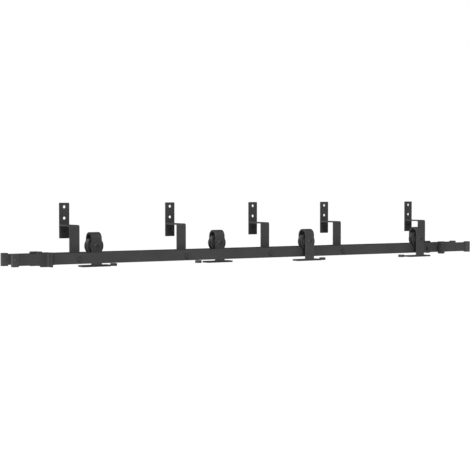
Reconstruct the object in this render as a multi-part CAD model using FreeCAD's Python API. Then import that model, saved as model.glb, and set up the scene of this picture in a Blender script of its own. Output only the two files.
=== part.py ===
import FreeCAD, Part
import math
import os

# Bypass barn door track: two flat rails side by side, five wall brackets, four top-mount hangers.
# Millimetres. +X runs along the rails, -Y points out of the wall into the room, +Z is up.
# The origin is on the wall plane, midway between the two wall holes of the middle bracket.

# ---- driving dimensions -------------------------------------------------------------------
RAIL_LENGTH = 2173.0
RAIL_HEIGHT = 40.0
RAIL_THICK = 5.0
RAIL_MID_X = {"front": -11.5, "rear": -17.5}    # seen from the middle bracket
RAIL_BOTTOM_Z = -186.0        # underside of both rails

BRACKET_X = (-839.0, -389.0, 0.0, 364.0, 831.0)
STRIP_WIDTH = 40.0            # flat strip that wall plates and bracket arms are cut from
STRIP_THICK = 5.0
PLATE_TOP_Z = 36.4
PLATE_BOTTOM_Z = -96.6
PLATE_CORNER_R = 3.0
EDGE_R = 0.6                  # softened edges of cut and bent strip
WALL_HOLE_R = 5.75
WALL_HOLE_SPACING = 42.0
JACK_SCREW_Z = -68.0
JACK_HOLE_R = 5.0
ARM_TOP_Z = -45.0             # top of the horizontal shelf
ARM_REACH = 95.0              # wall to the front of the drop leg
ARM_BEND_R = 8.0              # outside radius of the bend
ARM_BOTTOM_CLEARANCE = 3.0    # drop leg ends this far above the underside of the rail

REAR_STANDOFF = 45.0          # wall to the back of the rear rail
FRONT_STANDOFF = 36.0         # drop leg to the back of the front rail
RAIL_HOLE_HEIGHT = 16.5       # bolt holes above the underside of the rail, clear of the wheel rims
SPACER_R = 9.5
RAIL_BOLT_R = 4.0
RAIL_BOLT_HOLE_R = 4.25
REAR_RAIL_HOLE_R = 5.5
HEX_AF = 13.0
BOLT_FLANGE_R = 9.0
BOLT_FLANGE_THICK = 1.6
BOLT_HEX_HEIGHT = 5.4
BOLT_TIP = 1.5                # bolt end stands this far out of its nut
THREAD_GAP = 0.04             # radial gap that keeps a screw's plain cylinder off its hole

END_BLOCK_LENGTH = 23.0
END_BLOCK_DEPTH = 18.0
END_BLOCK_LIP = 3.5
END_BLOCK_EDGE_R = 1.2
SLIP = 0.2                    # gap between a clamped-on part and the rail
END_SCREW_R = 3.0

STOP_OUTER_X = {"front": (-988.5, 926.0), "rear": (-993.5, 919.0)}
STOP_CLAMP_LENGTH = 28.0
STOP_ARM_THICK = 7.0
STOP_REACH = 27.0             # front of the stop's arm from the face of the rail
STOP_WEB = 3.5
STOP_TOP_LIP = 6.0
STOP_BOTTOM_LIP = 7.0
STOP_HOOK_THICK = 5.0
STOP_HOOK_HEIGHT = 9.0
STOP_EDGE_R = 1.2
STOP_ROOT_R = 8.0             # inner radius between the clamp and the arm
STOP_WHEEL_NOTCH = 11.3       # the arm is low this far out from the rail, to pass the wheel
PAD_THICK = 6.5
PAD_LOW_TOP = 31.0            # top of the pad beside the rail, under the wheel's rim
GRUB_HOLE_R = 3.0

STRAP_WIDTH = 42.0
STRAP_THICK = 6.0
STRAP_DEPTH = 52.0            # outside of front leg to outside of back leg
STRAP_TOP = 112.6             # above the underside of the rail
STRAP_EDGE_R = 0.8
STRAP_HEEL_R = 12.0           # rounded corners of the back leg
STRAP_BACK_END = 45.0         # lower end of the back leg, above the underside of the rail
AXLE_HEIGHT = 61.0            # above the underside of the rail
AXLE_R = 6.0
WHEEL_R = 34.3
WHEEL_WIDTH = 25.0
GROOVE_R = 20.7
RIM_LAND = 4.0
RIM_FACE = 3.5                # width of the flat ring on each side of the wheel, below its rim
DISH_DEPTH = 2.5              # hollow in each side, between the rim and the hub
HUB_FOOT_R = 23.0
HUB_TOP_R = 17.5
GROOVE_BOTTOM_HALF = 3.5
BEARING_R = 13.98
BEARING_SEAT_R = 14.0
BEARING_WIDTH = 8.0
RACE_R = 9.0
RUNNING_GAP = 0.1
DOOR_PLATE_LENGTH = 117.0
DOOR_PLATE_DEPTH = 40.0
DOOR_PLATE_THICK = 6.5
DOOR_PLATE_DROP = 16.8        # underside of the plate, below the underside of the rail
DOOR_PLATE_CORNER_R = 1.0
DOOR_HOLE_R = 3.3
DOOR_HOLE_X = 90.0
DOOR_HOLE_Y = 20.0
DISC_R = 13.0
DISC_HEIGHT = 10.0
DISC_HOLE_R = 2.75
DISC_SINK_R = 5.5
DISC_SINK_DEPTH = 5.0
DISC_OFFSET = {"left": 82.0, "right": -85.5}
HANGER_X = {
    "rear_left": -739.2,
    "rear_right": -199.8,
    "front_left": 176.6,
    "front_right": 767.2,
}

# ---- worked-out places ----------------------------------------------------------------------
RAIL_TOP_Z = RAIL_BOTTOM_Z + RAIL_HEIGHT
RAIL_HOLE_Z = RAIL_BOTTOM_Z + RAIL_HOLE_HEIGHT
END_SCREW_Z = RAIL_BOTTOM_Z + RAIL_HEIGHT / 2
REAR_BACK_Y = -REAR_STANDOFF
REAR_FACE_Y = REAR_BACK_Y - RAIL_THICK
LEG_FRONT_Y = -ARM_REACH
LEG_BACK_Y = LEG_FRONT_Y + STRIP_THICK
FRONT_BACK_Y = LEG_FRONT_Y - FRONT_STANDOFF
FRONT_FACE_Y = FRONT_BACK_Y - RAIL_THICK
RAIL_FACE_Y = {"front": FRONT_FACE_Y, "rear": REAR_FACE_Y}
RAIL_MID_Y = {name: face + RAIL_THICK / 2 for name, face in RAIL_FACE_Y.items()}
AXLE_Z = RAIL_BOTTOM_Z + AXLE_HEIGHT

OUT = FreeCAD.Vector(0, -1, 0)
UP = FreeCAD.Vector(0, 0, 1)


# ---- helpers ----------------------------------------------------------------------------------
def vec(x, y, z):
    return FreeCAD.Vector(x, y, z)


def block(x0, x1, y0, y1, z0, z1):
    return Part.makeBox(x1 - x0, y1 - y0, z1 - z0, vec(x0, y0, z0))


def rod(radius, length, base, axis=OUT):
    return Part.makeCylinder(radius, length, base, axis)


def tube(outer_r, inner_r, length, base, axis=OUT):
    overrun = axis * 1.0
    return rod(outer_r, length, base, axis).cut(rod(inner_r, length + 2, base - overrun, axis))


def spacer(outer_r, inner_r, length, base):
    """A turned tube with its outer ends chamfered."""
    body = rod(outer_r, length, base)
    rims = [edge for edge in body.Edges if lies_in(edge, OUT, base.dot(OUT))
            or lies_in(edge, OUT, base.dot(OUT) + length)]
    return body.makeChamfer(0.6, rims).cut(rod(inner_r, length + 2, base - OUT))


def hexagon(across_flats, height, base, axis=OUT):
    """A hexagonal prism whose outer end has the usual turned chamfer."""
    corner_r = across_flats / math.sqrt(3)
    points = []
    for index in range(7):
        turn = math.radians(60 * index)
        points.append(vec(corner_r * math.cos(turn), corner_r * math.sin(turn), 0))
    prism = Part.Face(Part.makePolygon(points)).extrude(vec(0, 0, height))
    chamfer = corner_r - across_flats / 2
    cone = Part.makeCone(corner_r + height * 2, across_flats / 2 * 0.97, height * 2 + chamfer * 0.6,
                         vec(0, 0, -height - chamfer * 0.6))
    prism = prism.common(cone)
    prism.Placement = FreeCAD.Placement(base, FreeCAD.Rotation(UP, axis))
    return prism


def solid_of(profile_edges, sweep):
    return Part.Face(Part.Wire(profile_edges)).extrude(sweep)


def lines(points):
    return [Part.makeLine(a, b) for a, b in zip(points, points[1:])]


def arc(start, middle, end):
    return Part.Arc(start, middle, end).toShape()


def rounded(shape, radius, wanted):
    """Fillet the edges of the shape that the test accepts."""
    edges = [edge for edge in shape.Edges if wanted(edge)]
    return shape.makeFillet(radius, edges)


def runs_along(edge, direction, tolerance=1e-6):
    if edge.Curve.TypeId != "Part::GeomLine":
        return False
    return abs(abs(edge.Curve.Direction.dot(direction)) - 1) < tolerance


def lies_in(edge, normal, offset):
    """Whether the whole edge lies in the plane where point . normal is the offset."""
    return all(abs(point.dot(normal) - offset) < 1e-4 for point in edge.discretize(5))


def shank(radius, length, tip, axis=OUT):
    """A bolt's shank from its chamfered tip towards its head."""
    chamfer = 0.15 * radius
    cone = Part.makeCone(radius - chamfer, radius, chamfer, tip, axis)
    return cone.fuse(rod(radius, length - chamfer, tip + axis * chamfer, axis)).removeSplitter()


def save(name, *solids):
    shape = solids[0] if len(solids) == 1 else Part.makeCompound(list(solids))
    for solid in shape.Solids:
        if not solid.isValid():
            raise RuntimeError(name + " is not a valid solid")
    shape.exportStep("parts/" + name + ".step")


# ---- rails ------------------------------------------------------------------------------------
def rail(rail_name, hole_r):
    start_x = RAIL_MID_X[rail_name] - RAIL_LENGTH / 2
    face_y = RAIL_FACE_Y[rail_name]
    back_y = face_y + RAIL_THICK
    bar = block(start_x, start_x + RAIL_LENGTH, face_y, back_y, RAIL_BOTTOM_Z, RAIL_TOP_Z)
    for x in BRACKET_X:
        bar = bar.cut(rod(hole_r, RAIL_THICK + 2, vec(x, back_y + 1, RAIL_HOLE_Z)))
    for end_x in (start_x + END_BLOCK_LENGTH / 2, start_x + RAIL_LENGTH - END_BLOCK_LENGTH / 2):
        bar = bar.cut(rod(END_SCREW_R + SLIP, RAIL_THICK + 2, vec(end_x, back_y + 1, END_SCREW_Z)))
    return rounded(bar, EDGE_R, lambda edge: runs_along(edge, vec(1, 0, 0)))


# ---- wall brackets ------------------------------------------------------------------------------
def wall_plate(x):
    half = STRIP_WIDTH / 2
    plate = block(x - half, x + half, -STRIP_THICK, 0, PLATE_BOTTOM_Z, PLATE_TOP_Z)
    plate = rounded(plate, PLATE_CORNER_R, lambda edge: runs_along(edge, OUT))
    plate = rounded(plate, EDGE_R, lambda edge: lies_in(edge, OUT, STRIP_THICK))
    for z in (-WALL_HOLE_SPACING / 2, WALL_HOLE_SPACING / 2):
        plate = plate.cut(rod(WALL_HOLE_R, STRIP_THICK + 2, vec(x, 1, z)))
    return plate.cut(rod(JACK_HOLE_R, STRIP_THICK + 2, vec(x, 1, JACK_SCREW_Z)))


def bracket_arm(x):
    """Shelf and drop leg, bent from one strip. The shelf's end butts on the wall plate."""
    left_x = x - STRIP_WIDTH / 2
    outer_r = ARM_BEND_R
    inner_r = ARM_BEND_R - STRIP_THICK
    centre_y = LEG_FRONT_Y + outer_r
    centre_z = ARM_TOP_Z - outer_r
    diagonal = math.sqrt(0.5)
    foot_z = RAIL_BOTTOM_Z + ARM_BOTTOM_CLEARANCE
    shelf_z = ARM_TOP_Z - STRIP_THICK

    def bend(radius):
        return arc(vec(left_x, centre_y, centre_z + radius),
                   vec(left_x, centre_y - radius * diagonal, centre_z + radius * diagonal),
                   vec(left_x, centre_y - radius, centre_z))

    top = Part.makeLine(vec(left_x, -STRIP_THICK, ARM_TOP_Z), vec(left_x, centre_y, ARM_TOP_Z))
    front = Part.makeLine(vec(left_x, LEG_FRONT_Y, centre_z), vec(left_x, LEG_FRONT_Y, foot_z))
    foot = Part.makeLine(vec(left_x, LEG_FRONT_Y, foot_z), vec(left_x, LEG_BACK_Y, foot_z))
    back = Part.makeLine(vec(left_x, LEG_BACK_Y, foot_z), vec(left_x, LEG_BACK_Y, centre_z))
    under = Part.makeLine(vec(left_x, centre_y, shelf_z), vec(left_x, -STRIP_THICK, shelf_z))
    heel = Part.makeLine(vec(left_x, -STRIP_THICK, shelf_z), vec(left_x, -STRIP_THICK, ARM_TOP_Z))
    outline = [top, bend(outer_r), front, foot, back, bend(inner_r), under, heel]
    arm = solid_of(Part.__sortEdges__(outline), vec(STRIP_WIDTH, 0, 0))
    side = vec(1, 0, 0)
    arm = rounded(arm, EDGE_R, lambda edge: not lies_in(edge, OUT, STRIP_THICK)
                  and (lies_in(edge, side, left_x) or lies_in(edge, side, left_x + STRIP_WIDTH)
                       or lies_in(edge, UP, foot_z)))
    hole = rod(RAIL_BOLT_HOLE_R, STRIP_THICK + 2, vec(x, LEG_BACK_Y + 1, RAIL_HOLE_Z))
    return arm.cut(hole)


def jack_screw(x):
    """Socket set screw in the lower hole of a wall plate, which packs the bracket off the wall."""
    recess = 1.0
    screw = rod(JACK_HOLE_R - THREAD_GAP, STRIP_THICK - recess, vec(x, 0, JACK_SCREW_Z))
    return screw.cut(hexagon(5.0, 3.0, vec(x, -STRIP_THICK + recess + 3.0, JACK_SCREW_Z)))


def front_spacer(x):
    return spacer(SPACER_R, RAIL_BOLT_HOLE_R, FRONT_STANDOFF, vec(x, LEG_FRONT_Y, RAIL_HOLE_Z))


def rear_spacer(x):
    return spacer(SPACER_R, REAR_RAIL_HOLE_R, REAR_STANDOFF, vec(x, 0, RAIL_HOLE_Z))


def rail_bolt(x):
    """Flanged hex bolt through front rail, spacer and drop leg, head on the front of the rail."""
    face = vec(x, FRONT_FACE_Y, RAIL_HOLE_Z)
    flange = rod(BOLT_FLANGE_R, BOLT_FLANGE_THICK, face)
    head = hexagon(HEX_AF, BOLT_HEX_HEIGHT, face + OUT * BOLT_FLANGE_THICK)
    tip_y = LEG_BACK_Y + BOLT_FLANGE_THICK + BOLT_HEX_HEIGHT + BOLT_TIP
    stem = shank(RAIL_BOLT_R, tip_y - FRONT_FACE_Y, vec(x, tip_y, RAIL_HOLE_Z))
    return flange.fuse([head, stem]).removeSplitter()


def rail_nut(x):
    inward = vec(0, 1, 0)
    seat = vec(x, LEG_BACK_Y, RAIL_HOLE_Z)
    flange = rod(BOLT_FLANGE_R, BOLT_FLANGE_THICK, seat, inward)
    body = hexagon(HEX_AF, BOLT_HEX_HEIGHT, seat + inward * BOLT_FLANGE_THICK, inward)
    nut = flange.fuse(body).removeSplitter()
    return nut.cut(rod(RAIL_BOLT_R + 0.05, 20, seat - inward * 1, inward))


# ---- rail ends and stops ----------------------------------------------------------------------
def end_block(rail_name, side):
    """Sleeve round the end of a rail, so that nothing can run off it."""
    end_x = RAIL_MID_X[rail_name] + side * RAIL_LENGTH / 2
    inner_x = end_x - side * END_BLOCK_LENGTH
    x0, x1 = sorted((end_x, inner_x))
    mid_y = RAIL_MID_Y[rail_name]
    half = END_BLOCK_DEPTH / 2
    z0 = RAIL_BOTTOM_Z - END_BLOCK_LIP
    z1 = RAIL_TOP_Z + END_BLOCK_LIP
    body = block(x0, x1, mid_y - half, mid_y + half, z0, z1)
    body = rounded(body, END_BLOCK_EDGE_R, lambda edge: True)
    slot_half = RAIL_THICK / 2 + SLIP
    slot = block(x0 - 1, x1 + 1, mid_y - slot_half, mid_y + slot_half,
                 RAIL_BOTTOM_Z - SLIP, RAIL_TOP_Z + SLIP)
    screw_hole = rod(END_SCREW_R + THREAD_GAP, END_BLOCK_DEPTH + 2,
                     vec((x0 + x1) / 2, mid_y + half + 1, END_SCREW_Z))
    return body.cut(slot).cut(screw_hole)


def end_screw(rail_name, side):
    """Button head socket screw through an end block and its rail."""
    x = RAIL_MID_X[rail_name] + side * (RAIL_LENGTH - END_BLOCK_LENGTH) / 2
    half = END_BLOCK_DEPTH / 2
    back = vec(x, RAIL_MID_Y[rail_name] + half - 1, END_SCREW_Z)
    front = vec(x, RAIL_MID_Y[rail_name] - half, END_SCREW_Z)
    stem = shank(END_SCREW_R, END_BLOCK_DEPTH - 1, back)
    return button_head(front, 5.5, 3.3, stem, 4.0)


def button_head(seat, radius, height, stem, socket_af):
    """Join a domed head, with a hexagon socket, to a stem that ends on the seat."""
    ball_r = (radius ** 2 + height ** 2) / (2 * height)
    centre = seat - OUT * (ball_r - height)
    dome = Part.makeSphere(ball_r, centre).common(rod(radius * 1.2, height * 1.5, seat))
    socket = hexagon(socket_af, height, seat + OUT * (height * 0.35))
    return dome.fuse(stem).cut(socket).removeSplitter()


def stop_places(rail_name, side):
    """X of the clamp's outer end, of the arm's outer face and of its inner face."""
    outer_x = STOP_OUTER_X[rail_name][0 if side < 0 else 1]
    arm_x = outer_x - side * STOP_CLAMP_LENGTH
    return outer_x, arm_x, arm_x - side * STOP_ARM_THICK


def stop_root(arm_x, side, front_y, z0, z1):
    """Fills the corner between a clamp's front and its arm, leaving a rounded hollow."""
    far_x = arm_x + side * (STOP_ROOT_R + 1)
    x0, x1 = sorted((arm_x, far_x))
    corner = block(x0, x1, front_y - STOP_ROOT_R, front_y + STOP_WEB / 2, z0, z1)
    hollow = rod(STOP_ROOT_R, z1 - z0 + 2, vec(far_x, front_y - STOP_ROOT_R, z0 - 1), UP)
    return corner.cut(hollow)


def stop_clamp(rail_name, side):
    """C-section that grips the rail, with an arm that stands out into the hangers' path."""
    outer_x, arm_x, face_x = stop_places(rail_name, side)
    x0, x1 = sorted((outer_x, arm_x))
    rail_face = RAIL_FACE_Y[rail_name]
    rail_back = rail_face + RAIL_THICK
    z0 = RAIL_BOTTOM_Z - STOP_BOTTOM_LIP
    z1 = RAIL_TOP_Z + STOP_TOP_LIP
    front_y = rail_face - STOP_WEB
    back_y = rail_back + SLIP + STOP_HOOK_THICK
    body = block(x0, x1, front_y, back_y, z0, z1)
    body = rounded(body, STOP_EDGE_R, lambda edge: runs_along(edge, vec(1, 0, 0)))
    body = body.cut(block(x0 - 1, x1 + 1, rail_face - SLIP, rail_back + SLIP,
                          RAIL_BOTTOM_Z - SLIP, RAIL_TOP_Z + SLIP))
    body = body.cut(block(x0 - 1, x1 + 1, rail_back, back_y + 1,
                          RAIL_BOTTOM_Z + STOP_HOOK_HEIGHT, RAIL_TOP_Z - STOP_HOOK_HEIGHT))
    ax0, ax1 = sorted((arm_x, face_x))
    if side < 0:
        ax0 -= 1
    else:
        ax1 += 1
    notch_y = rail_face - STOP_WHEEL_NOTCH
    low = block(ax0, ax1, notch_y, front_y + STOP_WEB / 2, z0, RAIL_TOP_Z - 3)
    high = block(ax0, ax1, rail_face - STOP_REACH, notch_y, z0, z1)
    high = rounded(high, 2.0, lambda edge: runs_along(edge, UP)
                   and edge.CenterOfMass.y < notch_y - 1)
    root = stop_root(arm_x, side, front_y, z0, z1)
    body = body.fuse([low, high, root]).removeSplitter()
    for x in grub_places(rail_name, side):
        body = body.cut(rod(GRUB_HOLE_R, STOP_BOTTOM_LIP + 2, vec(x, RAIL_MID_Y[rail_name], z0 - 1), UP))
    return body


def grub_places(rail_name, side):
    outer_x, arm_x, _ = stop_places(rail_name, side)
    quarter = (arm_x - outer_x) / 4
    return (outer_x + quarter, arm_x - quarter)


def grub_screw(x, rail_name):
    """Socket set screw that pinches the rail from below."""
    base = vec(x, RAIL_MID_Y[rail_name], RAIL_BOTTOM_Z - STOP_BOTTOM_LIP + 0.6)
    screw = rod(GRUB_HOLE_R - THREAD_GAP, STOP_BOTTOM_LIP - 0.6, base, UP)
    return screw.cut(hexagon(3.0, 3.0, base + UP * 2.5, UP * -1))


def stop_pad(rail_name, side):
    """Rubber buffer on the inner face of a stop's arm."""
    _, _, face_x = stop_places(rail_name, side)
    x0, x1 = sorted((face_x, face_x - side * PAD_THICK))
    rail_face = RAIL_FACE_Y[rail_name]
    notch_y = rail_face - STOP_WHEEL_NOTCH
    z0 = RAIL_BOTTOM_Z + 1.0
    low = block(x0, x1, notch_y - 1, rail_face - STOP_WEB, z0, RAIL_BOTTOM_Z + PAD_LOW_TOP)
    high = block(x0, x1, rail_face - STOP_REACH + 1, notch_y, z0, RAIL_TOP_Z - 1.0)
    pad = high.fuse(low).removeSplitter()
    return rounded(pad, 2.0, lambda edge: runs_along(edge, vec(1, 0, 0)))


# ---- hangers ------------------------------------------------------------------------------------
def strap(x, mid_y):
    """Inverted J: long front leg, half-round top over the wheel, short back leg to the axle."""
    left_x = x - STRAP_WIDTH / 2
    outer_r = STRAP_DEPTH / 2
    inner_r = outer_r - STRAP_THICK
    arch_z = RAIL_BOTTOM_Z + STRAP_TOP - outer_r
    foot_z = RAIL_BOTTOM_Z - DOOR_PLATE_DROP + DOOR_PLATE_THICK
    heel_z = RAIL_BOTTOM_Z + STRAP_BACK_END

    def half_round(radius):
        return arc(vec(left_x, mid_y - radius, arch_z), vec(left_x, mid_y, arch_z + radius),
                   vec(left_x, mid_y + radius, arch_z))

    def leg(y, low_z):
        return Part.makeLine(vec(left_x, y, low_z), vec(left_x, y, arch_z))

    foot = Part.makeLine(vec(left_x, mid_y - outer_r, foot_z), vec(left_x, mid_y - inner_r, foot_z))
    heel = Part.makeLine(vec(left_x, mid_y + inner_r, heel_z), vec(left_x, mid_y + outer_r, heel_z))
    outline = [half_round(outer_r), half_round(inner_r), foot, heel,
               leg(mid_y - outer_r, foot_z), leg(mid_y - inner_r, foot_z),
               leg(mid_y + inner_r, heel_z), leg(mid_y + outer_r, heel_z)]
    bent = solid_of(Part.__sortEdges__(outline), vec(STRAP_WIDTH, 0, 0))
    bent = rounded(bent, STRAP_HEEL_R, lambda edge: runs_along(edge, OUT)
                   and abs(edge.CenterOfMass.z - heel_z) < 1e-3)
    side = vec(1, 0, 0)
    bent = rounded(bent, STRAP_EDGE_R, lambda edge: lies_in(edge, side, left_x)
                   or lies_in(edge, side, left_x + STRAP_WIDTH))
    return bent.cut(rod(AXLE_R + 0.1, STRAP_DEPTH + 2, vec(x, mid_y + outer_r + 1, AXLE_Z)))


def door_plate(x, mid_y):
    """Plate welded under the front leg, screwed to the top edge of the door."""
    front_y = mid_y - STRAP_DEPTH / 2
    z0 = RAIL_BOTTOM_Z - DOOR_PLATE_DROP
    half = DOOR_PLATE_LENGTH / 2
    plate = block(x - half, x + half, front_y, front_y + DOOR_PLATE_DEPTH, z0, z0 + DOOR_PLATE_THICK)
    plate = rounded(plate, DOOR_PLATE_CORNER_R, lambda edge: runs_along(edge, UP))
    plate = rounded(plate, EDGE_R, lambda edge: lies_in(edge, UP, z0)
                    or lies_in(edge, UP, z0 + DOOR_PLATE_THICK))
    centre_y = front_y + DOOR_PLATE_DEPTH / 2
    for hole_x in (x - DOOR_HOLE_X / 2, x + DOOR_HOLE_X / 2):
        for hole_y in (centre_y - DOOR_HOLE_Y / 2, centre_y + DOOR_HOLE_Y / 2):
            base = vec(hole_x, hole_y, z0 - 1)
            plate = plate.cut(rod(DOOR_HOLE_R, DOOR_PLATE_THICK + 2, base, UP))
            sink = Part.makeCone(DOOR_HOLE_R, DOOR_HOLE_R + 3.0, 3.0,
                                 vec(hole_x, hole_y, z0 + DOOR_PLATE_THICK - 3.0), UP)
            plate = plate.cut(sink)
    return plate


def jump_disc(x, mid_y):
    """Disc screwed to the door close under the rail, so that the wheels cannot jump off it."""
    z0 = RAIL_BOTTOM_Z - DOOR_PLATE_DROP
    disc = rod(DISC_R, DISC_HEIGHT, vec(x, mid_y, z0), UP)
    disc = disc.makeChamfer(0.8, [edge for edge in disc.Edges
                                  if abs(edge.CenterOfMass.z - z0 - DISC_HEIGHT) < 1e-3])
    disc = disc.cut(rod(DISC_HOLE_R, DISC_HEIGHT + 2, vec(x, mid_y, z0 - 1), UP))
    return disc.cut(rod(DISC_SINK_R, DISC_HEIGHT, vec(x, mid_y, z0 + DISC_HEIGHT - DISC_SINK_DEPTH), UP))


def axle_bolt(x, mid_y):
    """Low domed bolt head on the front leg, shank through wheel and back leg."""
    outer_r = STRAP_DEPTH / 2
    nut_height = 7.0
    length = STRAP_DEPTH + nut_height + 1.0
    stem = shank(AXLE_R, length, vec(x, mid_y - outer_r + length, AXLE_Z))
    return button_head(vec(x, mid_y - outer_r, AXLE_Z), 10.5, 3.8, stem, 8.0)


def axle_nut(x, mid_y):
    inward = vec(0, 1, 0)
    seat = vec(x, mid_y + STRAP_DEPTH / 2, AXLE_Z)
    washer = rod(11.5, 1.8, seat, inward)
    body = hexagon(18.0, 5.2, seat + inward * 1.8, inward)
    nut = washer.fuse(body).removeSplitter()
    return nut.cut(rod(AXLE_R + 0.05, 20, seat - inward * 1, inward))


def axle_spacers(x, mid_y):
    """Two sleeves and the bearing's inner race, clamped between the strap's legs."""
    inner_half = STRAP_DEPTH / 2 - STRAP_THICK
    race_half = BEARING_WIDTH / 2
    bore = AXLE_R + 0.05
    sleeve_length = inner_half - race_half
    front = tube(RACE_R - 1.0, bore, sleeve_length, vec(x, mid_y - race_half, AXLE_Z))
    race = tube(RACE_R, bore, BEARING_WIDTH, vec(x, mid_y + race_half, AXLE_Z))
    back = tube(RACE_R - 1.0, bore, sleeve_length, vec(x, mid_y + inner_half, AXLE_Z))
    return front, race, back


def bearing(x, mid_y):
    """Outer race, balls and shields as one ring, pressed into the wheel."""
    ring = tube(BEARING_R, RACE_R + RUNNING_GAP, BEARING_WIDTH,
                vec(x, mid_y + BEARING_WIDTH / 2, AXLE_Z))
    dish = tube(BEARING_R - 1.6, RACE_R + 1.2, 1.0, vec(x, mid_y - BEARING_WIDTH / 2 + 0.5, AXLE_Z))
    return ring.cut(dish)


def wheel(x, mid_y):
    """Grooved wheel turned about Y. The groove's sides lean out to the rim."""
    half = WHEEL_WIDTH / 2
    seat = BEARING_WIDTH / 2
    rim_inner = half - RIM_LAND
    round_r = 1.2
    slant = math.sqrt(0.5) * round_r
    shoulder_r = BEARING_SEAT_R - 1.5
    face_r = WHEEL_R - RIM_FACE

    def at(y, r):
        return vec(x, mid_y + y, AXLE_Z + r)

    def rim(sign):
        """The rounded land of one flange, from its outer side to the groove."""
        outer = sign * half
        inner = sign * rim_inner
        corner = WHEEL_R - round_r
        return [
            arc(at(outer, corner), at(outer - sign * (round_r - slant), corner + slant),
                at(outer - sign * round_r, WHEEL_R)),
            Part.makeLine(at(outer - sign * round_r, WHEEL_R), at(inner + sign * round_r, WHEEL_R)),
            arc(at(inner + sign * round_r, WHEEL_R), at(inner + sign * (round_r - slant), corner + slant),
                at(inner, corner)),
        ]

    front = -half
    outline = rim(-1) + rim(1)
    outline += lines([at(-rim_inner, WHEEL_R - round_r), at(-GROOVE_BOTTOM_HALF, GROOVE_R),
                      at(GROOVE_BOTTOM_HALF, GROOVE_R), at(rim_inner, WHEEL_R - round_r)])
    dish = half - DISH_DEPTH
    outline += lines([at(half, WHEEL_R - round_r), at(half, face_r), at(dish, face_r - 1.2),
                      at(dish, HUB_FOOT_R), at(half, HUB_TOP_R), at(half, shoulder_r),
                      at(seat, shoulder_r), at(seat, BEARING_SEAT_R), at(front, BEARING_SEAT_R),
                      at(front, HUB_TOP_R), at(-dish, HUB_FOOT_R), at(-dish, face_r - 1.2),
                      at(front, face_r), at(front, WHEEL_R - round_r)])
    face = Part.Face(Part.Wire(Part.__sortEdges__(outline)))
    return face.revolve(at(0, 0), vec(0, 1, 0), 360)


# ---- the parts --------------------------------------------------------------------------------
def build_track():
    save("rear_rail", rail("rear", REAR_RAIL_HOLE_R))
    save("front_rail", rail("front", RAIL_BOLT_HOLE_R))
    for number, x in enumerate(BRACKET_X, start=1):
        save("wall_plate_%d" % number, wall_plate(x))
        save("bracket_arm_%d" % number, bracket_arm(x))
    save("jack_screws", *[jack_screw(x) for x in BRACKET_X])
    save("rear_spacers", *[rear_spacer(x) for x in BRACKET_X])
    save("front_spacers", *[front_spacer(x) for x in BRACKET_X])
    save("rail_bolts", *[rail_bolt(x) for x in BRACKET_X])
    save("rail_nuts", *[rail_nut(x) for x in BRACKET_X])


def build_ends_and_stops():
    end_screws = []
    pads = []
    grubs = []
    for rail_name in ("rear", "front"):
        for side_name, side in (("left", -1), ("right", 1)):
            place = rail_name + "_" + side_name
            save(place + "_end_block", end_block(rail_name, side))
            save(place + "_stop", stop_clamp(rail_name, side))
            end_screws.append(end_screw(rail_name, side))
            pads.append(stop_pad(rail_name, side))
            grubs += [grub_screw(x, rail_name) for x in grub_places(rail_name, side)]
    save("end_screws", *end_screws)
    save("stop_pads", *pads)
    save("stop_screws", *grubs)


def build_hanger(place, x):
    rail_name, side_name = place.split("_")
    mid_y = RAIL_MID_Y[rail_name]
    save(place + "_strap", strap(x, mid_y))
    save(place + "_door_plate", door_plate(x, mid_y))
    save(place + "_jump_disc", jump_disc(x + DISC_OFFSET[side_name], mid_y))
    save(place + "_axle_bolt", axle_bolt(x, mid_y))
    save(place + "_axle_nut", axle_nut(x, mid_y))
    save(place + "_axle_spacers", *axle_spacers(x, mid_y))
    save(place + "_bearing", bearing(x, mid_y))
    save(place + "_wheel", wheel(x, mid_y))


os.makedirs("parts", exist_ok=True)
build_track()
build_ends_and_stops()
for hanger_place, hanger_x in HANGER_X.items():
    build_hanger(hanger_place, hanger_x)
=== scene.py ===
import math

import bmesh
import bpy
from mathutils import Euler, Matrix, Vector


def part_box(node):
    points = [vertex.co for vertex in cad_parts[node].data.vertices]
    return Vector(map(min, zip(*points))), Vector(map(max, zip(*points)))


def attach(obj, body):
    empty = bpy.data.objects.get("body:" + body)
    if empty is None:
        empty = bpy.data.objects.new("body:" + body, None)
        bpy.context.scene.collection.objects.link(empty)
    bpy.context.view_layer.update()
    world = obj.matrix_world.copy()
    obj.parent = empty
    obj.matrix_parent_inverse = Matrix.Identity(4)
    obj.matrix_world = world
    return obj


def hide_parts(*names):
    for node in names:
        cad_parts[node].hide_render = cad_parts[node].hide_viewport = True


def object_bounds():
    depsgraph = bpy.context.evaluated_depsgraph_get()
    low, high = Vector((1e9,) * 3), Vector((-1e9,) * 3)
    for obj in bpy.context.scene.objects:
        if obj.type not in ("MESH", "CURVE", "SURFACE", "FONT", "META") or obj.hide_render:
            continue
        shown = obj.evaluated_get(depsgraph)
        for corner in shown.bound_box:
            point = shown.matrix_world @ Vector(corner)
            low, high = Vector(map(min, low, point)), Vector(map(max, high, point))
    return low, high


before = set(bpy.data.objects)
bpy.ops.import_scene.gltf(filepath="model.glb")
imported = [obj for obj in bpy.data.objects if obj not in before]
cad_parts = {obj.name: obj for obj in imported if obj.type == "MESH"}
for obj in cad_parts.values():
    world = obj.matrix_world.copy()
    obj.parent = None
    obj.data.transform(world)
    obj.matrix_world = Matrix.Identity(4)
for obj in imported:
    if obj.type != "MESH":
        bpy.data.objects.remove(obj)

# Bypass barn door track on five wall brackets. Metres, in the frame of the CAD model:
# +X along the rails, -Y out of the wall into the room, +Z up.

PLACES = ("rear_left", "rear_right", "front_left", "front_right")
BRACKETS = (1, 2, 3, 4, 5)
CAD_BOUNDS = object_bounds()

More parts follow.
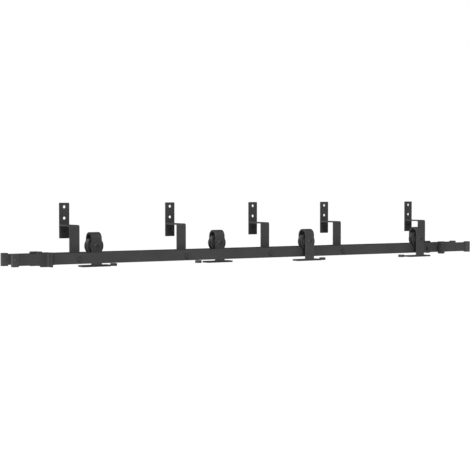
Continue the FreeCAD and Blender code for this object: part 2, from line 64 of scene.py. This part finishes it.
# ---- camera and light -------------------------------------------------------------------------
CAMERA_PLACE = (-2.6535, -4.0725, 0.0650)
CAMERA_DOWN_DEG = 1.9353
CAMERA_RIGHT_DEG = 32.2464
CAMERA_LENS_MM = 90.60
CAMERA_REACH = 200.0
SENSOR_MM = 36.0
FLOOR_BELOW = 2.1                 # the rails hang about this far above the floor
FLOOR_SIZE = 400.0
FLOOR_TONE = 0.70
FLOOR_GLOW = 0.29
SKY_BELOW = 0.10                  # strength of the studio's light from below and from above
SKY_ABOVE = 1.15
# each sun's name, the direction towards it, its strength, and how wide it is in degrees
SUNS = (("left", (-0.88, -0.10, 0.46), 3.2, 20),
        ("front_top", (-0.10, -0.74, 0.67), 2.5, 30))
WHITE = (1, 1, 1, 1)

# ---- tones, as linear grey --------------------------------------------------------------------
RAIL_TONE = 0.033                 # rails, straps and discs
ARM_TONE = 0.0325                 # shelves and drop legs of the brackets
# painted shade: the wall plates get a darker copy of the same powder coat, which deepens the
# shade below the shelves
WALL_PLATE_SHADE_TONE = 0.0270
# painted shade: the stops get a darker copy of the same powder coat
STOP_SHADE_TONE = 0.0265
# painted light: the end blocks and their screws get a lighter copy of the same powder coat, for
# their lit left ends
BLOCK_LIT_TONE = 0.040                # end blocks and their screws
# painted shade: the bolt heads and door plates get a darker copy of the same powder coat
HEAD_SHADE_TONE = 0.026                 # axle bolts, rail bolts and door plates
WELD_TONE = 0.032
OXIDE_TONE = 0.05                 # nuts and the stops' set screws
# painted shade: the jack screws are near black, for the dark spot in the shade below each shelf
JACK_SCREW_SHADE_TONE = 0.012
SPACER_TONE = 0.06
BRIGHT_TONE = 0.42                # sleeves and races on the axles
NYLON_TONE = 0.024
RUBBER_TONE = 0.022
SHIELD_TONE = 0.018
SCUFF_TONE = 0.16                 # bare steel where blackened corners are rubbed

# ---- sizes within the materials ---------------------------------------------------------------
PEEL_SCALE = 900.0                # orange peel of the powder coat, features per metre
THIN_COAT_AND_HIGHLIGHT_EDGE = 0.0007                # width of the thinner coat along an edge, whose lighter tone is partly a painted highlight
SCUFF_EDGE = 0.0005
NYLON_RING_PITCH = 0.00075        # turning marks
SHIELD_RING_PITCH = 0.00035
STEEL_RING_PITCH = 0.0004
GROOVE_WEAR_AND_HUB_HIGHLIGHT_R = (0.0205, 0.0240)    # radii between which the lighter tone fades out: the rail's polish on the groove's bottom, a painted highlight on the hub inside it
SHIELD_INNER_R = (0.0101, 0.0103)     # radii of the shield's edges, where tone changes
SHIELD_OUTER_R = (0.0123, 0.0125)

# ---- weld beads -------------------------------------------------------------------------------
BEAD_LEG = 0.0032                 # leg length of a fillet weld
BEAD_PITCH = 0.0021               # one ripple of the weld pool
BEAD_RIPPLE = 0.00022
BEAD_STEPS_PER_PITCH = 6
BEAD_ARC_POINTS = 7
BEAD_INSET = 0.0012               # a bead stops this short of the strip's edges
BEAD_SUNK = 0.1                   # share of the leg by which a bead's root lies inside the steel

# ---- rubber pads of the stops -----------------------------------------------------------------
PAD_THICK = 0.0065
PAD_ROUND = 0.0012
PAD_CLEAR_OF_ARM = 0.001          # the pad stops this short of the front of the arm
PAD_ABOVE_LIP = 0.008             # bottom of the pad above the bottom of the stop
PAD_BELOW_TOP = 0.007
PAD_LOW_TOP = 0.038               # top of the part beside the rail, above the bottom of the stop
ARM_REACH = 0.027                 # front of the arm from the face of the rail
WHEEL_NOTCH = 0.0113              # depth of the step that lets the wheel's rim past
CLAMP_WEB = 0.0035
RIB_HEIGHT = 0.0009               # ribs on the face that the hangers meet
RIB_WIDTH = 0.0022
RIB_PITCH = 0.0034
RIB_MARGIN = 0.0024


# ---- node helpers -----------------------------------------------------------------------------
class Shader:
    """A material's node tree, with short ways to add and join nodes."""

    def __init__(self, name):
        self.material = bpy.data.materials.new(name)
        self.material.use_nodes = True
        self.tree = self.material.node_tree
        self.principled = self.tree.nodes["Principled BSDF"]
        self.place = self.add("ShaderNodeTexCoord").outputs["Object"]

    def add(self, kind, **settings):
        node = self.tree.nodes.new(kind)
        for key, value in settings.items():
            setattr(node, key, value)
        return node

    def join(self, source, target):
        self.tree.links.new(source, target)

    def put(self, socket, value):
        if isinstance(value, bpy.types.NodeSocket):
            self.join(value, socket)
        else:
            socket.default_value = value

    def math(self, operation, first, second=0.0):
        node = self.add("ShaderNodeMath", operation=operation)
        self.put(node.inputs[0], first)
        self.put(node.inputs[1], second)
        return node.outputs[0]

    def noise(self, scale, detail=2.0, roughness=0.5):
        node = self.add("ShaderNodeTexNoise")
        self.join(self.place, node.inputs["Vector"])
        node.inputs["Scale"].default_value = scale
        node.inputs["Detail"].default_value = detail
        node.inputs["Roughness"].default_value = roughness
        return node.outputs["Fac"]

    def ramp(self, value, low, high, to_low=0.0, to_high=1.0):
        node = self.add("ShaderNodeMapRange")
        self.put(node.inputs["Value"], value)
        node.inputs["From Min"].default_value = low
        node.inputs["From Max"].default_value = high
        node.inputs["To Min"].default_value = to_low
        node.inputs["To Max"].default_value = to_high
        return node.outputs["Result"]

    def mix(self, factor, first, second):
        node = self.add("ShaderNodeMix", data_type="RGBA")
        self.put(node.inputs["Factor"], factor)
        self.put(node.inputs["A"], first)
        self.put(node.inputs["B"], second)
        return node.outputs["Result"]

    def edge(self, radius, low, high):
        """1 on convex and concave edges within the radius, 0 on open faces."""
        bevel = self.add("ShaderNodeBevel", samples=4)
        bevel.inputs["Radius"].default_value = radius
        surface = self.add("ShaderNodeNewGeometry").outputs["Normal"]
        dot = self.add("ShaderNodeVectorMath", operation="DOT_PRODUCT")
        self.join(bevel.outputs["Normal"], dot.inputs[0])
        self.join(surface, dot.inputs[1])
        return self.ramp(dot.outputs["Value"], low, high, 1.0, 0.0)

    def bump(self, height, distance, normal=None):
        node = self.add("ShaderNodeBump")
        node.inputs["Strength"].default_value = 1.0
        node.inputs["Distance"].default_value = distance
        self.join(height, node.inputs["Height"])
        if normal is not None:
            self.join(normal, node.inputs["Normal"])
        return node.outputs["Normal"]

    def rings(self, distance, pitch):
        """A wave from -1 to 1 that repeats every pitch along the distance."""
        return self.math("SINE", self.math("MULTIPLY", distance, 2 * math.pi / pitch))

    def finish(self, color, roughness, normal=None, metallic=0.0, specular=0.5):
        self.put(self.principled.inputs["Base Color"], color)
        self.put(self.principled.inputs["Roughness"], roughness)
        self.put(self.principled.inputs["Metallic"], metallic)
        self.principled.inputs["Specular IOR Level"].default_value = specular
        if normal is not None:
            self.join(normal, self.principled.inputs["Normal"])
        return self.material


def grey(level, warm=0.0):
    return (level * (1 + warm), level, level * (1 - warm), 1.0)


# ---- materials --------------------------------------------------------------------------------
def powder_coat(name, level):
    """Matt black powder coat: fine orange peel, faint cloudiness, thinner on the edges, whose
    lighter tone is partly a painted highlight.
    """
    s = Shader(name)
    cloud = s.noise(9.0, 3.0)
    peel = s.noise(PEEL_SCALE, 2.0, 0.55)
    grain = s.noise(3800.0, 1.0)
    speckle = s.ramp(s.noise(2300.0, 1.0), 0.66, 0.78)
    tone = s.mix(s.ramp(cloud, 0.35, 0.65), grey(level * 0.90), grey(level * 1.10, 0.01))
    tone = s.mix(s.math("MULTIPLY", speckle, 0.35), tone, grey(level * 1.9))
    edge = s.edge(THIN_COAT_AND_HIGHLIGHT_EDGE, 0.90, 0.995)
    # lighter along the edges: partly the thinner coat, partly a painted highlight
    tone = s.mix(s.math("MULTIPLY", edge, 0.30), tone, grey(level * 1.8, 0.02))
    rough = s.ramp(peel, 0.3, 0.7, 0.52, 0.64)
    rough = s.math("SUBTRACT", rough, s.math("MULTIPLY", edge, 0.08))
    normal = s.bump(peel, 0.00006)
    normal = s.bump(grain, 0.000015, normal=normal)
    return s.finish(tone, rough, normal, specular=0.35)


def black_oxide(name, level):
    """Blackened steel of bolts, nuts and set screws, a little oily and scuffed on the corners."""
    s = Shader(name)
    cloud = s.noise(260.0, 4.0, 0.6)
    fine = s.noise(2600.0, 2.0)
    edge = s.edge(SCUFF_EDGE, 0.85, 0.995)
    tone = s.mix(s.ramp(cloud, 0.3, 0.7), grey(level * 0.8, -0.02), grey(level * 1.25, 0.03))
    scuffed = s.math("MULTIPLY", edge, s.ramp(cloud, 0.42, 0.60, 0.15, 0.7))
    tone = s.mix(scuffed, tone, grey(SCUFF_TONE))
    rough = s.ramp(cloud, 0.3, 0.7, 0.36, 0.52)
    return s.finish(tone, rough, s.bump(fine, 0.00002), metallic=0.55)


def around_axle(s, node_name):
    """Distance from an axle and along it, in metres, for a turned part on that node's axis."""
    low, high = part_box(node_name)
    centre = (low + high) / 2
    shift = s.add("ShaderNodeVectorMath", operation="SUBTRACT")
    s.join(s.place, shift.inputs[0])
    shift.inputs[1].default_value = centre
    split = s.add("ShaderNodeSeparateXYZ")
    s.join(shift.outputs["Vector"], split.inputs["Vector"])
    squares = s.math("ADD", s.math("POWER", split.outputs["X"], 2.0),
                     s.math("POWER", split.outputs["Z"], 2.0))
    return s.math("SQRT", squares), split.outputs["Y"]


def turned_nylon(name, level, node_name):
    """Black nylon of the wheels, with fine turning rings, lighter and glossier on the groove's
    bottom, worn by the rail, and on the hub, where the lighter tone is a painted highlight.
    """
    s = Shader(name)
    radius, along = around_axle(s, node_name)
    fine = s.noise(1900.0, 2.0)
    cloud = s.noise(60.0, 3.0)
    rings = s.rings(s.math("ADD", radius, along), NYLON_RING_PITCH)
    waver = s.math("ADD", s.math("MULTIPLY", rings, 0.5), fine)
    # lighter and glossier inside these radii: the groove's bottom worn by the rail, and a painted
    # highlight on the hub
    wear_and_hub_highlight = s.ramp(radius, *GROOVE_WEAR_AND_HUB_HIGHLIGHT_R, 1.0, 0.0)
    tone = s.mix(s.ramp(cloud, 0.35, 0.65), grey(level * 0.88), grey(level * 1.12))
    tone = s.mix(s.math("MULTIPLY", wear_and_hub_highlight, 0.35), tone, grey(level * 1.9))
    rough = s.ramp(fine, 0.3, 0.7, 0.36, 0.46)
    rough = s.math("SUBTRACT", rough, s.math("MULTIPLY", wear_and_hub_highlight, 0.14))
    return s.finish(tone, rough, s.bump(waver, 0.00004))


def shielded_bearing(name, node_name):
    """Ground steel ring round a black shield."""
    s = Shader(name)
    radius, _ = around_axle(s, node_name)
    rings = s.rings(radius, SHIELD_RING_PITCH)
    fine = s.noise(2200.0, 2.0)
    inside = s.ramp(radius, *SHIELD_OUTER_R, 1.0, 0.0)
    outside = s.ramp(radius, *SHIELD_INNER_R, 0.0, 1.0)
    shield = s.math("MULTIPLY", inside, outside)
    steel = s.mix(s.ramp(fine, 0.3, 0.7), grey(0.40), grey(0.48))
    tone = s.mix(shield, steel, grey(SHIELD_TONE))
    rough = s.ramp(fine, 0.3, 0.7, 0.26, 0.38)
    rough = s.math("ADD", rough, s.math("MULTIPLY", shield, 0.25))
    metal = s.math("SUBTRACT", 1.0, shield)
    return s.finish(tone, rough, s.bump(rings, 0.00001), metallic=metal)


def turned_steel(name, level, rough_low, rough_high):
    """Bright or blackened turned steel of sleeves and races, ringed across the bar's axis."""
    s = Shader(name)
    split = s.add("ShaderNodeSeparateXYZ")
    s.join(s.place, split.inputs["Vector"])
    fine = s.noise(1800.0, 3.0)
    rings = s.rings(split.outputs["Y"], STEEL_RING_PITCH)
    height = s.math("ADD", s.math("MULTIPLY", rings, 0.4), fine)
    tone = s.mix(s.ramp(fine, 0.3, 0.7), grey(level * 0.85), grey(level * 1.15))
    rough = s.ramp(fine, 0.3, 0.7, rough_low, rough_high)
    return s.finish(tone, rough, s.bump(height, 0.00002), metallic=1.0)


def moulded_rubber(name, level):
    """Matt black rubber with the fine texture of its mould and a trace of bloom."""
    s = Shader(name)
    grain = s.noise(1500.0, 3.0, 0.65)
    bloom = s.ramp(s.noise(120.0, 4.0, 0.6), 0.45, 0.75)
    tone = s.mix(s.math("MULTIPLY", bloom, 0.5), grey(level), grey(level * 2.1, -0.01))
    rough = s.ramp(grain, 0.3, 0.7, 0.74, 0.88)
    return s.finish(tone, rough, s.bump(grain, 0.00006), specular=0.3)


def weld_coat(name, level):
    """Powder coat over a weld: the bead's own small pits show through."""
    s = Shader(name)
    peel = s.noise(PEEL_SCALE, 2.0, 0.55)
    pits = s.noise(1700.0, 3.0, 0.7)
    tone = s.mix(s.ramp(peel, 0.3, 0.7), grey(level * 0.85), grey(level * 1.15))
    rough = s.ramp(peel, 0.3, 0.7, 0.50, 0.62)
    height = s.math("ADD", peel, pits)
    return s.finish(tone, rough, s.bump(height, 0.00008), specular=0.35)


def paint(node_name, material):
    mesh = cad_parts[node_name].data
    mesh.materials.clear()
    mesh.materials.append(material)


def paint_everything():
    coat = powder_coat("powder_coat", RAIL_TONE)
    bracket_coat = powder_coat("bracket_coat", ARM_TONE)
    # painted shade: a darker copy of the coat on the stops
    shaded_stop_coat = powder_coat("shaded_stop_coat", STOP_SHADE_TONE)
    # painted shade: a darker copy of the coat on the wall plates
    shaded_plate_coat = powder_coat("shaded_plate_coat", WALL_PLATE_SHADE_TONE)
    # painted light: a lighter copy of the coat on the end blocks and their screws
    lit_block_coat = powder_coat("lit_block_coat", BLOCK_LIT_TONE)
    # painted shade: a darker copy of the coat on the rail bolts, axle bolts and door plates
    shaded_head_coat = powder_coat("shaded_head_coat", HEAD_SHADE_TONE)
    oxide = black_oxide("black_oxide", OXIDE_TONE)
    spacer = turned_steel("black_spacer", SPACER_TONE, 0.42, 0.55)
    bright = turned_steel("bright_steel", BRIGHT_TONE, 0.25, 0.36)
    for node_name in ("rear_rail", "front_rail"):
        paint(node_name, coat)
    for number in BRACKETS:
        paint("wall_plate_%d" % number, shaded_plate_coat)
        paint("bracket_arm_%d" % number, bracket_coat)
    # painted shade: near-black oxide on the jack screws
    paint("jack_screws", black_oxide("painted_shade_oxide", JACK_SCREW_SHADE_TONE))
    for node_name in ("rail_nuts", "stop_screws"):
        paint(node_name, oxide)
    paint("rail_bolts", shaded_head_coat)
    paint("end_screws", lit_block_coat)
    for node_name in ("rear_spacers", "front_spacers"):
        paint(node_name, spacer)
    for place in PLACES:
        paint(place + "_end_block", lit_block_coat)
        paint(place + "_stop", shaded_stop_coat)
        for part in ("strap", "jump_disc"):
            paint(place + "_" + part, coat)
        paint(place + "_door_plate", shaded_head_coat)
        paint(place + "_axle_bolt", shaded_head_coat)
        paint(place + "_axle_nut", oxide)
        paint(place + "_axle_spacers", bright)
        bearing = place + "_bearing"
        paint(bearing, shielded_bearing(bearing + "_steel", bearing))
        wheel = place + "_wheel"
        paint(wheel, turned_nylon(place + "_nylon", NYLON_TONE, wheel))


# ---- weld beads -------------------------------------------------------------------------------
def weld_bead(name, start, end, out_one, out_two, body, material):
    """A rippled fillet weld from start to end, in the corner between two faces whose outward
    directions are out_one and out_two."""
    start, end = Vector(start), Vector(end)
    out_one, out_two = Vector(out_one), Vector(out_two)
    run = end - start
    steps = max(8, round(run.length / BEAD_PITCH) * BEAD_STEPS_PER_PITCH)
    mesh = bmesh.new()
    rings = []
    for step in range(steps + 1):
        share = step / steps
        ripple = abs(math.sin(math.pi * share * steps / BEAD_STEPS_PER_PITCH)) ** 0.6
        taper = min(1.0, 3.0 * math.sqrt(min(share, 1 - share)) + 0.25)
        leg = (BEAD_LEG + BEAD_RIPPLE * ripple) * taper
        corner = start + run * share
        ring = [mesh.verts.new(corner - (out_one + out_two) * BEAD_LEG * BEAD_SUNK)]
        for index in range(BEAD_ARC_POINTS):
            turn = math.pi / 2 * index / (BEAD_ARC_POINTS - 1)
            bulge = 0.80 + 0.20 * abs(math.cos(2 * turn))
            ring.append(mesh.verts.new(corner + out_one * leg * bulge * math.cos(turn)
                                       + out_two * leg * bulge * math.sin(turn)))
        rings.append(ring)
    for near, far in zip(rings, rings[1:]):
        for index in range(len(near)):
            following = (index + 1) % len(near)
            mesh.faces.new((near[index], near[following], far[following], far[index]))
    mesh.faces.new(list(reversed(rings[0])))
    mesh.faces.new(rings[-1])
    bmesh.ops.recalc_face_normals(mesh, faces=mesh.faces)
    data = bpy.data.meshes.new(name)
    mesh.to_mesh(data)
    mesh.free()
    for face in data.polygons:
        face.use_smooth = True
    data.materials.append(material)
    bead = bpy.data.objects.new(name, data)
    bpy.context.scene.collection.objects.link(bead)
    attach(bead, body)


def weld_everything():
    material = weld_coat("weld_coat", WELD_TONE)
    for number in BRACKETS:
        arm_low, arm_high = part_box("bracket_arm_%d" % number)
        plate_low, plate_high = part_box("wall_plate_%d" % number)
        thick = plate_high.y - plate_low.y
        x0, x1 = arm_low.x + BEAD_INSET, arm_high.x - BEAD_INSET
        face_y = plate_low.y
        for side, z, up in (("top", arm_high.z, 1), ("under", arm_high.z - thick, -1)):
            weld_bead("bracket_weld_%d_%s" % (number, side), (x0, face_y, z), (x1, face_y, z),
                      (0, -1, 0), (0, 0, up), "track", material)
    for place in PLACES:
        strap_low, strap_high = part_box(place + "_strap")
        plate_low, plate_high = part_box(place + "_door_plate")
        body = place + "_hanger"
        thick = plate_high.z - plate_low.z
        x0, x1 = strap_low.x, strap_high.x
        y0, y1 = strap_low.y, strap_low.y + thick
        z = plate_high.z
        runs = (("back", (x0 + BEAD_INSET, y1, z), (x1 - BEAD_INSET, y1, z), (0, 1, 0)),
                ("left", (x0, y0 + BEAD_INSET, z), (x0, y1, z), (-1, 0, 0)),
                ("right", (x1, y0 + BEAD_INSET, z), (x1, y1, z), (1, 0, 0)))
        for side, start, end, out in runs:
            weld_bead(place + "_weld_" + side, start, end, out, (0, 0, 1), body,
                      material)


# ---- rubber pads ------------------------------------------------------------------------------
def round_edges(mesh, faces, radius, segments):
    mesh.edges.index_update()
    edges = sorted({edge for face in faces for edge in face.edges}, key=lambda edge: edge.index)
    bmesh.ops.bevel(mesh, geom=edges, offset=radius, segments=segments, profile=0.5,
                    affect="EDGES", clamp_overlap=True)


def add_prism(mesh, outline, depth, radius, segments=3):
    """Extrude a flat outline by depth along X and round its edges."""
    base = mesh.faces.new([mesh.verts.new(point) for point in outline])
    grown = bmesh.ops.extrude_face_region(mesh, geom=[base])["geom"]
    moved = [item for item in grown if isinstance(item, bmesh.types.BMVert)]
    bmesh.ops.translate(mesh, vec=(depth, 0, 0), verts=moved)
    faces = {face for vert in moved for face in vert.link_faces} | {base}
    round_edges(mesh, faces, radius, segments)


def add_pad(mesh, place):
    """A buffer on the arm of one stop: an L in outline, with upright ribs on its working face."""
    low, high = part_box(place + "_stop")
    inward = 1 if place.endswith("left") else -1
    root_x = high.x if inward > 0 else low.x
    front_y = low.y + PAD_CLEAR_OF_ARM
    notch_y = low.y + ARM_REACH - WHEEL_NOTCH
    back_y = low.y + ARM_REACH - CLAMP_WEB
    z0 = low.z + PAD_ABOVE_LIP
    z_high = high.z - PAD_BELOW_TOP
    z_low = low.z + PAD_LOW_TOP
    body = PAD_THICK - RIB_HEIGHT
    outline = [(root_x, front_y, z0), (root_x, back_y, z0), (root_x, back_y, z_low),
               (root_x, notch_y, z_low), (root_x, notch_y, z_high), (root_x, front_y, z_high)]
    add_prism(mesh, outline, inward * body, PAD_ROUND)
    y = front_y + RIB_MARGIN
    while y + RIB_WIDTH < back_y - RIB_MARGIN / 2:
        top = z_high if y + RIB_WIDTH < notch_y else z_low
        x = root_x + inward * (body - RIB_HEIGHT)
        corners = [(x, y, z0 + RIB_MARGIN), (x, y + RIB_WIDTH, z0 + RIB_MARGIN),
                   (x, y + RIB_WIDTH, top - RIB_MARGIN), (x, y, top - RIB_MARGIN)]
        add_prism(mesh, corners, inward * 2 * RIB_HEIGHT, RIB_HEIGHT * 0.6, 2)
        y += RIB_PITCH


def pad_everything():
    mesh = bmesh.new()
    for place in PLACES:
        add_pad(mesh, place)
    bmesh.ops.recalc_face_normals(mesh, faces=mesh.faces)
    data = bpy.data.meshes.new("stop_buffers")
    mesh.to_mesh(data)
    mesh.free()
    data.materials.append(moulded_rubber("pad_rubber", RUBBER_TONE))
    piece = bpy.data.objects.new("stop_buffers", data)
    bpy.context.scene.collection.objects.link(piece)
    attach(piece, "track")
    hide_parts("stop_pads")


# ---- stage ------------------------------------------------------------------------------------
def make_camera():
    data = bpy.data.cameras.new("camera")
    data.sensor_width = SENSOR_MM
    data.lens = CAMERA_LENS_MM
    data.clip_end = CAMERA_REACH
    camera = bpy.data.objects.new("camera", data)
    camera.location = CAMERA_PLACE
    camera.rotation_euler = Euler((math.radians(90 - CAMERA_DOWN_DEG), 0,
                                   math.radians(-CAMERA_RIGHT_DEG)))
    bpy.context.scene.collection.objects.link(camera)
    bpy.context.scene.camera = camera


def make_sun(name, towards_light, strength, angle_deg):
    data = bpy.data.lights.new(name, "SUN")
    data.energy = strength
    data.angle = math.radians(angle_deg)
    sun = bpy.data.objects.new(name, data)
    sun.rotation_euler = Vector(towards_light).to_track_quat("Z", "Y").to_euler()
    bpy.context.scene.collection.objects.link(sun)


def make_world():
    """White to the eye; as a light, brighter overhead than below."""
    world = bpy.data.worlds.new("studio")
    bpy.context.scene.world = world
    world.use_nodes = True
    tree = world.node_tree
    background = tree.nodes["Background"]
    output = tree.nodes["World Output"]
    place = tree.nodes.new("ShaderNodeTexCoord")
    split = tree.nodes.new("ShaderNodeSeparateXYZ")
    sky = tree.nodes.new("ShaderNodeMapRange")
    sky.inputs["From Min"].default_value = -1.0
    sky.inputs["From Max"].default_value = 1.0
    sky.inputs["To Min"].default_value = SKY_BELOW
    sky.inputs["To Max"].default_value = SKY_ABOVE
    white = tree.nodes.new("ShaderNodeBackground")
    white.inputs["Color"].default_value = WHITE
    ray = tree.nodes.new("ShaderNodeLightPath")
    choose = tree.nodes.new("ShaderNodeMixShader")
    tree.links.new(place.outputs["Generated"], split.inputs["Vector"])
    tree.links.new(split.outputs["Z"], sky.inputs["Value"])
    tree.links.new(sky.outputs["Result"], background.inputs["Strength"])
    tree.links.new(ray.outputs["Is Camera Ray"], choose.inputs["Fac"])
    tree.links.new(background.outputs["Background"], choose.inputs[1])
    tree.links.new(white.outputs["Background"], choose.inputs[2])
    tree.links.new(choose.outputs["Shader"], output.inputs["Surface"])


def make_floor():
    low = CAD_BOUNDS[0]
    bpy.ops.mesh.primitive_plane_add(size=FLOOR_SIZE, location=(0, 0, low[2] - FLOOR_BELOW))
    floor = bpy.context.object
    floor.name = "floor"
    s = Shader("pale_floor")
    s.finish(grey(FLOOR_TONE), 0.8, specular=0.0)
    s.put(s.principled.inputs["Emission Color"], WHITE)
    s.principled.inputs["Emission Strength"].default_value = FLOOR_GLOW
    floor.data.materials.append(s.material)


make_camera()
make_world()
for sun in SUNS:
    make_sun(*sun)
make_floor()
paint_everything()
weld_everything()
pad_everything()
bpy.context.scene.view_settings.view_transform = "Standard"
